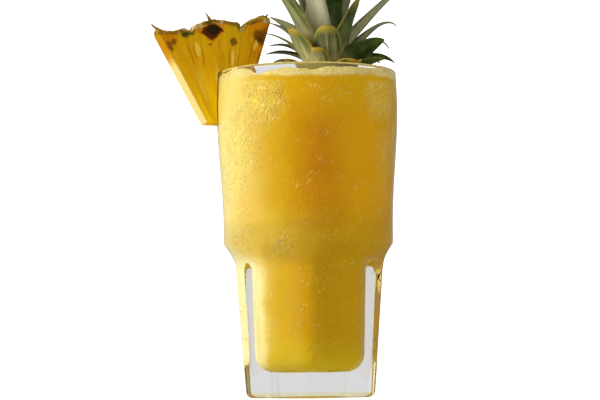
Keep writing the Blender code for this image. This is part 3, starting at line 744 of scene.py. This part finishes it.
wedge_shape = cut_away(wedge_shape, slit_shape)
for angle, lean, length, depth, bend in SPINES:
    cone = bmesh.new()
    bmesh.ops.create_cone(
        cone,
        cap_ends=True,
        segments=12,
        radius1=SPINE_FOOT_RADIUS,
        radius2=SPINE_TIP_RADIUS,
        depth=length + SPINE_ROOT,
    )
    shaft = [edge for edge in cone.edges if edge.calc_length() > length]
    bmesh.ops.subdivide_edges(cone, edges=shaft, cuts=6)
    foot = Vector((math.sin(angle), 0, math.cos(angle))) * (rind_radius(angle, -depth) - 0.5 * MM)
    foot.y = -depth
    turn = wedge_place @ Matrix.Translation(foot) @ Matrix.Rotation(angle + lean, 4, "Y")
    for vert in cone.verts:
        height = vert.co.z + length / 2 - SPINE_ROOT / 2
        bent = bend * max(0.0, height / length) ** 2
        vert.co = turn @ Vector((vert.co.x + bent, vert.co.y, height))
    spine_mesh = bpy.data.meshes.new("spine")
    cone.to_mesh(spine_mesh)
    cone.free()
    wedge_shape.from_mesh(spine_mesh)
    bpy.data.meshes.remove(spine_mesh)
# Every point of the wedge knows its angle, its distance from the core and how deep it lies under the rind.
angle_layer = wedge_shape.verts.layers.float.new("angle")
reach_layer = wedge_shape.verts.layers.float.new("reach")
under_layer = wedge_shape.verts.layers.float.new("under_rind")
back_to_wedge = wedge_place.inverted()
for vert in wedge_shape.verts:
    local = back_to_wedge @ vert.co
    angle = math.atan2(local.x, local.z)
    reach = math.hypot(local.x, local.z)
    vert[angle_layer] = math.degrees(angle)
    vert[reach_layer] = reach / MM
    vert[under_layer] = (rind_radius(angle, local.y) - reach) / MM


def joined(tree, x, y, z):
    made = tree.nodes.new("ShaderNodeCombineXYZ")
    for value, socket in zip((x, y, z), made.inputs):
        feed(tree, value, socket)
    return made.outputs["Vector"]


# A mark in the flesh, placed by its angle and its distance from the core: a soft oval, and a sharp diamond.
MARK_PLACE = ("Mid Angle", "Mid Reach", "Half Width", "Half Length")
tree, given, result = new_group(
    "fruit_mark",
    [(label, "NodeSocketFloat") for label in ("Angle", "Reach", *MARK_PLACE)],
    (("Oval", "NodeSocketFloat"), ("Diamond", "NodeSocketFloat")),
)
fruit_mark = tree
off = minus(tree, given.outputs["Angle"], given.outputs["Mid Angle"])
off = times(tree, times(tree, off, given.outputs["Reach"]), math.pi / 180)
off = calc(tree, "ABSOLUTE", calc(tree, "DIVIDE", off, given.outputs["Half Width"]))
far = minus(tree, given.outputs["Reach"], given.outputs["Mid Reach"])
far = calc(tree, "ABSOLUTE", calc(tree, "DIVIDE", far, given.outputs["Half Length"]))
oval = plus(tree, calc(tree, "POWER", off, 2), calc(tree, "POWER", far, 2))
oval = calc(tree, "POWER", oval)
tree.links.new(ramp(tree, oval, 1.25, 0.6), result.inputs["Oval"])
tree.links.new(ramp(tree, plus(tree, off, far), 1.12, 0.9), result.inputs["Diamond"])

pineapple_flesh, tree, shader = new_finish(
    "pineapple_flesh",
    {
        "IOR": 1.38,
        "Coat Roughness": 0.15,
        "Specular IOR Level": 0.0,
        "Subsurface Weight": 0.2,
        "Subsurface Scale": 2 * MM,
        "Subsurface Radius": (1.0, 0.55, 0.12),
    },
)
where = in_object(tree)
into_wedge = tree.nodes.new("ShaderNodeMapping")
into_wedge.vector_type = "TEXTURE"
into_wedge.inputs["Location"].default_value = WEDGE_APEX
into_wedge.inputs["Rotation"].default_value = wedge_turn.to_euler("XYZ")
tree.links.new(where, into_wedge.inputs["Vector"])
shift = minus(tree, clouds(tree, where, 160.0, 3.0), 0.5)
ragged = minus(tree, clouds(tree, where, 620.0, 3.0), 0.5)
angle = plus(tree, read(tree, "angle"), plus(tree, times(tree, shift, 2.2), times(tree, ragged, 1.8)))
reach = plus(tree, read(tree, "reach"), plus(tree, times(tree, shift, 3.0), times(tree, ragged, -1.6)))
under = read(tree, "under_rind")
side_depth = times(tree, parted(tree, into_wedge.outputs["Vector"])["Y"], 200.0)
fibres = joined(tree, times(tree, angle, 0.5), times(tree, reach, 0.04), side_depth)
fibres = clouds(tree, fibres, 1.0, 5.0, 0.6)
bands = clouds(tree, joined(tree, times(tree, angle, 0.22), times(tree, reach, 0.03), side_depth), 1.0, 2.0)
flesh = tint(tree, ramp(tree, reach, 22.0, 50.0), (0.90, 0.57, 0.004), (0.76, 0.40, 0.003))
flesh = tint(tree, ramp(tree, angle, -2.0, 13.0, 0.0, 0.5), flesh, (0.52, 0.26, 0.003))
flesh = tint(tree, ramp(tree, bands, 0.44, 0.66, 0.0, 0.6), flesh, (0.60, 0.27, 0.002))
flesh = tint(tree, ramp(tree, fibres, 0.52, 0.74, 0.0, 0.5), flesh, (0.86, 0.60, 0.03))
flesh = tint(tree, ramp(tree, fibres, 0.46, 0.28, 0.0, 0.4), flesh, (0.54, 0.24, 0.002))
side_face = ramp(tree, read(tree, "angle"), -28.6, -29.2)
pale_side = times(tree, side_face, ramp(tree, reach, 59.0, 50.0, 0.0, 0.95))
flesh = tint(tree, pale_side, flesh, (0.74, 0.55, 0.19))
olive = times(tree, ramp(tree, under, 13.0, 2.0), ramp(tree, bands, 0.62, 0.40))
flesh = tint(tree, times(tree, olive, 0.5), flesh, (0.54, 0.35, 0.006))
# Marks: the colour, whether it is a diamond, how strong it is, and its angle, reach, half width and half
# length.
ORANGE, EYE_BROWN, EYE_DARK = (0.64, 0.21, 0.002), (0.10, 0.022, 0.003), (0.016, 0.015, 0.007)
SEED_BROWN, PALE_STREAK, RED_LINE = (0.20, 0.085, 0.004), (0.86, 0.62, 0.08), (0.56, 0.14, 0.002)
GREEN_NOTCH, GREY_SPOT = (0.035, 0.05, 0.008), (0.14, 0.085, 0.01)
FLESH_MARKS = (
    (ORANGE, False, 0.85, -28.0, 65.5, 6.0, 7.0),
    (ORANGE, False, 0.85, -9.5, 65.0, 7.5, 4.4),
    (ORANGE, False, 0.85, 12.6, 66.5, 5.0, 6.0),
    (ORANGE, False, 0.6, 13.6, 55.0, 2.6, 6.0),
    (GREEN_NOTCH, False, 0.95, -19.4, 64.0, 2.2, 2.8),
    (GREEN_NOTCH, False, 0.95, 4.6, 65.6, 2.4, 3.6),
    (PALE_STREAK, False, 0.7, 5.6, 65.5, 0.8, 3.0),
    (RED_LINE, True, 0.6, -8.3, 62.2, 6.4, 5.0),
    (EYE_BROWN, True, 1.0, -8.3, 62.2, 5.5, 4.2),
    (EYE_DARK, True, 0.9, -7.7, 62.4, 3.8, 2.7),
    (SEED_BROWN, False, 0.85, -25.6, 62.0, 1.9, 1.2),
    (SEED_BROWN, False, 0.9, -28.0, 60.5, 1.1, 3.2),
    (GREY_SPOT, False, 0.9, 1.4, 56.9, 1.9, 2.0),
    (EYE_BROWN, False, 0.95, 13.8, 61.0, 3.6, 3.6),
    (SEED_BROWN, False, 0.8, 11.6, 62.6, 1.8, 1.8),
    (SEED_BROWN, False, 0.7, -9.6, 56.6, 1.4, 0.7),
    (SEED_BROWN, False, 0.75, 14.6, 63.6, 2.4, 3.0),
    (SEED_BROWN, False, 0.6, 15.2, 52.0, 1.0, 2.2),
    (RED_LINE, False, 0.7, -18.2, 54.0, 0.5, 3.6),
    (PALE_STREAK, False, 0.7, -16.6, 54.6, 1.3, 3.2),
    (RED_LINE, False, 0.6, -14.8, 51.5, 0.5, 5.0),
    (RED_LINE, False, 0.55, -0.4, 51.0, 0.55, 4.2),
    (PALE_STREAK, False, 0.9, 1.4, 49.0, 0.75, 4.2),
    (RED_LINE, False, 0.6, 10.4, 54.0, 0.6, 5.4),
    (PALE_STREAK, False, 0.7, 12.0, 57.0, 0.8, 3.0),
    (PALE_STREAK, False, 0.5, -8.0, 40.0, 0.9, 8.0),
    (PALE_STREAK, False, 0.4, -20.0, 40.0, 1.2, 9.0),
)
for colour, is_diamond, strength, *place in FLESH_MARKS:
    mark = use_group(tree, fruit_mark, Angle=angle, Reach=reach)
    for label, value in zip(MARK_PLACE, place):
        mark.inputs[label].default_value = value
    shown = mark.outputs["Diamond" if is_diamond else "Oval"]
    flesh = tint(tree, times(tree, shown, strength), flesh, colour)
brown_side = times(tree, side_face, ramp(tree, reach, 50.0, 59.0, 0.0, 0.9))
flesh = tint(tree, brown_side, flesh, (0.42, 0.19, 0.006))
# The rind itself: a thin skin of brown, green and straw-coloured patches.
patches = clouds(tree, where, 190.0, 4.0, 0.7)
skin = tint(tree, ramp(tree, patches, 0.36, 0.50), (0.035, 0.055, 0.012), (0.26, 0.14, 0.014))
skin = tint(tree, ramp(tree, patches, 0.53, 0.62), skin, (0.58, 0.46, 0.20))
cut_edge = ramp(tree, read(tree, "angle"), 14.2, 15.4)
cut_edge = times(tree, cut_edge, ramp(tree, patches, 0.42, 0.56, 0.25, 0.9))
flesh = tint(tree, times(tree, cut_edge, ramp(tree, reach, 34.0, 50.0)), flesh, (0.24, 0.085, 0.006))
flesh = tint(tree, times(tree, ramp(tree, under, 2.4, 1.2), 0.92), flesh, skin)
tree.links.new(flesh, shader.inputs["Base Color"])
tree.links.new(ramp(tree, under, 2.0, 0.5, 0.34, 0.7), shader.inputs["Roughness"])
wetness = times(tree, ramp(tree, under, 0.5, 3.0, 0.0, 0.12), minus(tree, 1.0, side_face))
tree.links.new(wetness, shader.inputs["Coat Weight"])
relief(tree, shader, plus(tree, fibres, times(tree, patches, ramp(tree, under, 3.0, 0.5))), 0.6, 0.5 * MM)
finished("pineapple_wedge_flesh", wedge_shape, pineapple_flesh, "pineapple_flesh", "pineapple_wedge")

# The crown. The stiff leafy top of the pineapple, cut off with its short stem and stood in the drink. The
# leaves grow round the stem in a spiral: waxy, channelled, grey-green, paler at the root and browned at
# the tip.
CROWN_X = 9.0 * MM
CROWN_Y = 5.0 * MM
CROWN_LEAN = math.radians(1.1)
STEM_OUTLINE = (
    (0, 134), (10.5, 134), (14.4, 139), (14.9, 149), (12.8, 154), (8.0, 160), (4.5, 166), (0, 170),
)
# Leaves that the front shows: direction (-90 faces the front), root height, length, width, first and last
# slope, how late they curl, how blunt they end, how far they are rolled about their length, how grey with
# bloom they are (above 1 this is painted light as well), and how golden at the tip.
FRONT_LEAVES = (
    (180, 156, 20, 10, 32, -14, 1.0, 0.0, -20, 0.1, 0.1),
    (170, 156.5, 21, 9, 54, -12, 1.0, 0.0, -20, 0.3, 0.0),
    (-170, 155, 23.5, 7, 62, 8, 1.0, 0.0, -20, 0.8, 0.5),
    (-134, 152, 22, 16, 54, 46, 1.0, 0.7, -15, 0.6, 1.0),
    (-140, 158, 62, 16, 56, 40, 1.0, 0.0, -10, 0.4, 0.8),
    (163, 160, 29, 12, 52, 26, 1.0, 0.0, -35, 1.0, 0.1),
    (150, 160, 26, 10, 62, 50, 1.0, 0.0, -25, 0.9, 0.0),
    (148, 162, 56, 11, 60, 48, 1.0, 0.0, 0, 0.95, 0.0),
    (-118, 160, 72, 17, 68, 60, 1.0, 0.0, 0, 1.2, 0.0),
    (-80, 161, 74, 16, 84, 78, 1.0, 0.0, 0, -0.5, 0.0),
    (30, 162, 66, 13, 76, 64, 1.0, 0.0, 0, 0.5, 0.0),
    (-46, 157, 30, 18, 68, 60, 1.0, 0.2, 15, 0.15, 0.6),
    (18, 160, 60, 10, 52, 38, 1.0, 0.0, 25, 0.7, 0.0),
    (3, 158, 32, 9, 44, -66, 6.0, 0.0, 30, 0.6, 0.0),
    (-20, 154, 21, 16, 44, 14, 1.5, 0.1, -45, 0.0, 0.0),
    (2, 153, 23, 8, 42, -40, 1.3, 0.0, -35, 0.0, 0.0),
    (14, 157, 27, 6, 46, -70, 2.5, 0.0, 0, 0.5, 0.0),
    (-90, 154, 19, 15, 48, 72, 1.0, 0.7, 0, 0.4, 0.9),
    (-108, 150.5, 12, 13, 50, 60, 1.0, 0.7, 0, 0.7, 1.3),
    (-56, 149, 13, 15, 28, 18, 1.0, 0.6, 0, 0.1, 1.0),
    (-14, 150.5, 17, 9, 36, 6, 1.0, 0.3, -20, 0.0, 0.2),
    (-150, 149.5, 12, 9, 38, 22, 1.0, 0.6, 0, 0.3, 1.0),
)
# Leaves behind and inside, in rings: count, first direction, step, root height, length, width, slopes.
LEAF_RINGS = (
    (4, 40, 34, 151, 24, 12, 48, -10),
    (3, 62, 38, 156, 36, 14, 58, 18),
    (3, 100, 62, 161, 56, 14, 70, 46),
    (5, -75, 137.5, 165, 66, 11, 84, 72),
)
LEAF_LEAST_REACH = 1.5 * MM
LEAF_SUNK = 2.0 * MM
LEAF_THICKNESS = 1.12 * MM
LEAF_CHANNEL = 0.16
LEAF_ALONG = 36
LEAF_ACROSS = 10
stem_foot = Vector((0, 0, STEM_OUTLINE[0][1] * MM))
crown_place = Matrix.Translation(stem_foot + Vector((CROWN_X, CROWN_Y, 0)))
crown_place = crown_place @ Matrix.Rotation(CROWN_LEAN, 4, "Y") @ Matrix.Translation(-stem_foot)


def stem_radius(z):
    for (low_radius, low), (high_radius, high) in zip(STEM_OUTLINE[1:], STEM_OUTLINE[2:]):
        if low <= z / MM <= high:
            return MM * (low_radius + (high_radius - low_radius) * (z / MM - low) / (high - low))
    return 0.0


def leaf_width(share, blunt):
    """The leaf's width along its length, as a share of its widest: narrow neck, broad middle and tip."""
    neck = 0.75 + 0.25 * math.sin(math.pi * min(share / 0.7, 0.5))
    point = (1 - share) ** 0.75 if share < 1 else 0.0
    round_end = math.sqrt(max(0.0, 1 - share**6))
    return max(0.03, neck * (point + (round_end - point) * blunt))


def grow_leaf(
    crown, direction, root, length, width, first_slope, last_slope, lateness, blunt, roll, bloom_and_painted_light, gold, seed
):
    """Adds one leaf to the crown: a thin grid with two faces, bent in an upright plane and channelled."""
    root, length, width = root * MM, length * MM, width * MM
    course = [Vector((max(LEAF_LEAST_REACH, stem_radius(root) - LEAF_SUNK), 0, root))]
    slopes = []
    for i in range(LEAF_ALONG + 1):
        share = i / LEAF_ALONG
        slope = math.radians(first_slope + (last_slope - first_slope) * share**lateness)
        slopes.append(slope)
        course.append(course[-1] + Vector((math.cos(slope), 0, math.sin(slope))) * (length / LEAF_ALONG))
    grid = bmesh.ops.create_grid(crown, x_segments=LEAF_ACROSS, y_segments=LEAF_ALONG, size=0.5)["verts"]
    faces = list({face for vert in grid for face in vert.link_faces})
    raised = bmesh.ops.extrude_face_region(crown, geom=faces)["geom"]
    upper = [item for item in raised if isinstance(item, bmesh.types.BMVert)]
    bmesh.ops.translate(crown, verts=upper, vec=(0, 0, 1))
    turn = crown_place @ Matrix.Rotation(math.radians(direction), 4, "Z")
    for vert in grid + upper:
        side = 2 * vert.co.x
        share = vert.co.y + 0.5
        step = min(LEAF_ALONG, round(share * LEAF_ALONG))
        slope = slopes[step]
        bend = Matrix.Rotation(-slope, 3, "Y") @ Matrix.Rotation(math.radians(roll), 3, "X")
        half = width * leaf_width(share, blunt) / 2
        wave = 0.06 * half * math.sin(9 * share + seed + 2 * side) * abs(side)
        thick = LEAF_THICKNESS * (0.16 + 0.84 * math.sqrt(max(0.0, 1 - side * side))) * (1 - 0.6 * share)
        lift = 2 * LEAF_CHANNEL * half * side * side + wave + (vert.co.z - 0.5) * thick
        vert[crown_layers["along"]] = share
        vert[crown_layers["side"]] = side
        vert[crown_layers["bloom_and_painted_light"]] = bloom_and_painted_light
        vert[crown_layers["gold"]] = gold
        vert[crown_layers["seed"]] = seed
        vert.co = turn @ (course[step] + bend @ Vector((0, half * side, lift)))


crown_shape = turned([(radius * MM, height * MM) for radius, height in STEM_OUTLINE], 48)
bmesh.ops.transform(crown_shape, matrix=crown_place, verts=crown_shape.verts)
LEAF_FACTS = ("along", "side", "bloom_and_painted_light", "gold", "seed")
crown_layers = {name: crown_shape.verts.layers.float.new(name) for name in LEAF_FACTS}
for vert in crown_shape.verts:
    vert[crown_layers["along"]] = 0.9
    vert[crown_layers["gold"]] = 0.5
    vert[crown_layers["bloom_and_painted_light"]] = -0.2
leaf_draw = random.Random(7)
for spec in FRONT_LEAVES:
    grow_leaf(crown_shape, *spec, leaf_draw.uniform(0, 10))
for count, first, step, root, length, width, first_slope, last_slope in LEAF_RINGS:
    for i in range(count):
        long = length * (1 - 0.08 * (i % 2))
        look = (leaf_draw.uniform(0.1, 0.8), leaf_draw.uniform(0, 0.4), leaf_draw.uniform(0, 10))
        form = (root, long, width, first_slope, last_slope, 1.0, 0.0, 0)
        grow_leaf(crown_shape, first + step * i, *form, *look)
bmesh.ops.recalc_face_normals(crown_shape, faces=crown_shape.faces)

crown_leaf, tree, shader = new_finish("crown_leaf", {"Specular IOR Level": 0.25})
where = in_object(tree)
along, side, bloom_and_painted_light, gold, seed = (read(tree, name) for name in LEAF_FACTS)
blotch = clouds(tree, where, 110.0, 4.0, 0.6)
grain = clouds(tree, where, 1500.0, 2.0, 0.7)
veins = clouds(tree, joined(tree, times(tree, side, 7.0), times(tree, along, 1.6), seed), 1.0, 4.0, 0.6)
leaf = tint(tree, ramp(tree, blotch, 0.35, 0.65), (0.014, 0.032, 0.009), (0.050, 0.110, 0.011))
leaf = tint(tree, ramp(tree, veins, 0.50, 0.70, 0.0, 0.6), leaf, (0.13, 0.18, 0.028))
# A pale bloom lies on the leaf, thickest near its root, and the root itself is nearly straw-coloured.
dusty = times(tree, bloom_and_painted_light, ramp(tree, along, 1.05, 0.25, 0.25, 1.0))
edge = calc(tree, "ABSOLUTE", side)
dusty = times(tree, dusty, ramp(tree, edge, 0.95, 0.45, 0.3, 1.0))
dusty = times(tree, dusty, ramp(tree, plus(tree, veins, times(tree, grain, 0.35)), 0.46, 0.78, 0.25, 1.25))
leaf = tint(tree, dusty, leaf, (0.67, 0.61, 0.30))
# Above a bloom of 1, the leaf is painted paler still. This is painted light on a leaf that lies in shade.
painted_light_pale = times(tree, ramp(tree, bloom_and_painted_light, 1.0, 1.25), ramp(tree, veins, 0.35, 0.6, 0.5, 0.9))
leaf = tint(tree, painted_light_pale, leaf, (0.86, 0.82, 0.60))
root_pale = times(tree, ramp(tree, along, 0.34, 0.02), ramp(tree, blotch, 0.30, 0.60, 0.45, 0.9))
root_pale = times(tree, root_pale, ramp(tree, bloom_and_painted_light, -0.2, 0.3, 0.3, 1.0))
leaf = tint(tree, root_pale, leaf, (0.68, 0.58, 0.27))
# Edges and tips dry to gold, and the last of a tip to brown.
leaf = tint(tree, times(tree, ramp(tree, edge, 0.9, 1.0), 0.4), leaf, (0.26, 0.26, 0.05))
golden = calc(tree, "MAXIMUM", ramp(tree, edge, 0.8, 1.0, 0.0, 0.7), ramp(tree, along, 0.70, 0.98))
golden = times(tree, golden, gold)
leaf = tint(tree, golden, leaf, (0.50, 0.36, 0.04))
leaf = tint(tree, times(tree, ramp(tree, along, 0.95, 1.0), gold), leaf, (0.24, 0.13, 0.02))
tree.links.new(leaf, shader.inputs["Base Color"])
tree.links.new(ramp(tree, dusty, 0.0, 1.0, 0.42, 0.75), shader.inputs["Roughness"])
relief(tree, shader, plus(tree, veins, times(tree, grain, 0.15)), 0.5, 0.5 * MM)
finished("crown_leaves", crown_shape, crown_leaf, "crown_leaf", "crown")

# The stage: a plain pale floor that the tumbler stands on, soft light mostly from the left, and the camera a
# little above the floor, looking slightly up, as in the photograph.
floor_shape = bmesh.new()
bmesh.ops.create_grid(floor_shape, x_segments=1, y_segments=1, size=3.0)
bmesh.ops.translate(floor_shape, verts=floor_shape.verts, vec=(0, 0, -0.3 * MM))
floor_mesh = bpy.data.meshes.new("floor")
floor_shape.to_mesh(floor_mesh)
floor_shape.free()
pale_floor, tree, shader = new_finish(
    "pale_floor", {"Base Color": (0.4, 0.4, 0.4, 1), "Roughness": 0.8, "Emission Color": (1, 1, 1, 1)}
)
# It glows to the eye, as a bright backdrop does, but sheds less light on what stands on it.
shed = tree.nodes.new("ShaderNodeLightPath").outputs["Is Diffuse Ray"]
tree.links.new(minus(tree, 0.85, times(tree, shed, 0.55)), shader.inputs["Emission Strength"])
floor_mesh.materials.append(pale_floor)
floor = bpy.data.objects.new("floor", floor_mesh)
bpy.context.scene.collection.objects.link(floor)
floor.visible_glossy = False


def soft_lamp(name, place, aim, size, watts):
    lamp = bpy.data.lights.new(name, "AREA")
    lamp.shape = "DISK"
    lamp.size = size
    lamp.energy = watts
    made = bpy.data.objects.new(name, lamp)
    made.location = place
    made.rotation_euler = (Vector(aim) - Vector(place)).to_track_quat("-Z", "Y").to_euler()
    made.visible_glossy = False
    made.visible_transmission = False
    bpy.context.scene.collection.objects.link(made)


soft_lamp("key_lamp", (-1.0, -0.42, 0.5), (0, 0, 0.1), 0.5, 12)
soft_lamp("fill_lamp", (0.5, -1.0, 0.35), (0, 0, 0.1), 0.7, 2)
soft_lamp("top_lamp", (-0.1, 0.1, 1.2), (0, 0, 0.1), 0.9, 5)

studio = bpy.data.worlds.new("studio")
studio.use_nodes = True
bpy.context.scene.world = studio
tree = studio.node_tree
air = tree.nodes["Background"]
looking = parted(tree, tree.nodes.new("ShaderNodeTexCoord").outputs["Generated"])
light = plus(tree, ramp(tree, looking["X"], -0.2, -0.9, 0.0, 0.45), 0.06)
light = plus(tree, light, ramp(tree, looking["Y"], -0.1, 0.7, 0.0, 0.4))
light = plus(tree, light, ramp(tree, looking["Z"], 0.2, 0.9, 0.0, 0.25))
light = times(tree, light, ramp(tree, looking["X"], 0.1, 0.7, 1.0, 0.35))
rays = tree.nodes.new("ShaderNodeLightPath")
light = plus(tree, light, rays.outputs["Is Camera Ray"])
light = calc(tree, "MAXIMUM", light, times(tree, rays.outputs["Is Transmission Ray"], 0.72))
tree.links.new(light, air.inputs["Strength"])
air.inputs["Color"].default_value = (1, 1, 1, 1)

eye = Vector((-4 * MM, -955 * MM, 22 * MM))
aim = Vector((-3.7 * MM, 0, 90.9 * MM))
camera_data = bpy.data.cameras.new("photo_camera")
camera_data.lens = 124
camera_data.sensor_width = 36
camera_data.clip_start = 0.01
camera = bpy.data.objects.new("photo_camera", camera_data)
level = Matrix.Translation(eye) @ (aim - eye).to_track_quat("-Z", "Y").to_matrix().to_4x4()
camera.matrix_world = level @ Matrix.Rotation(math.radians(-0.62), 4, "Z")
bpy.context.scene.collection.objects.link(camera)
bpy.context.scene.camera = camera
bpy.context.scene.view_settings.view_transform = "Standard"
